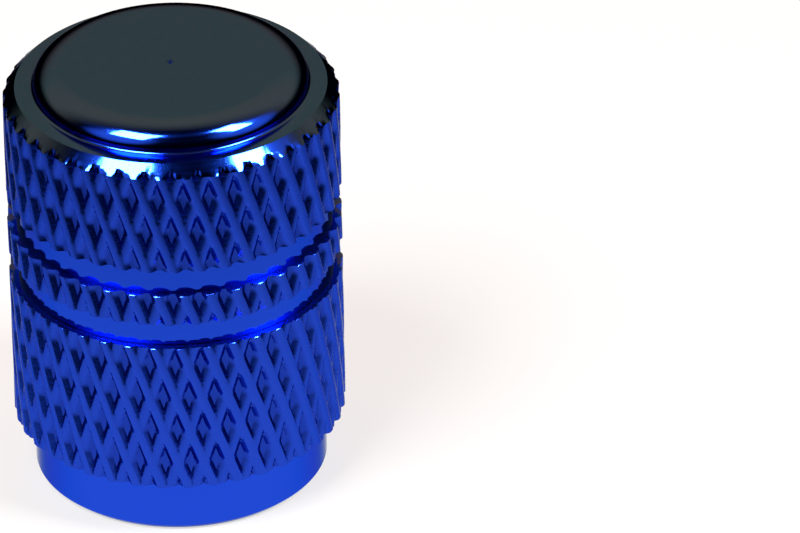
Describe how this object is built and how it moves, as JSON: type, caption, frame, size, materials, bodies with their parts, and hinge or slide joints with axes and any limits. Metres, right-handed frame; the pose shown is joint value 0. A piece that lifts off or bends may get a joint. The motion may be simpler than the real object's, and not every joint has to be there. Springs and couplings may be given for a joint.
{
  "type": "tyre valve cap",
  "caption": "Knurled cylindrical metal valve cap with two turned grooves, a round boss on top, a plain skirt and a threaded blind bore with a sealing washer.",
  "frame": {"origin": "centre of the open rim, in the plane that the cap stands on", "axes": "+Z along the axis of the cap, from the open rim to the closed top"},
  "size_m": [0.011, 0.011, 0.0151],
  "materials": {
    "anodised_aluminium": "bright dip, dyed blue anodised",
    "black_rubber": "matte moulded"
  },
  "bodies": {
    "root": {"cap_body": "anodised_aluminium", "sealing_washer": "black_rubber"}
  },
  "joints": []
}
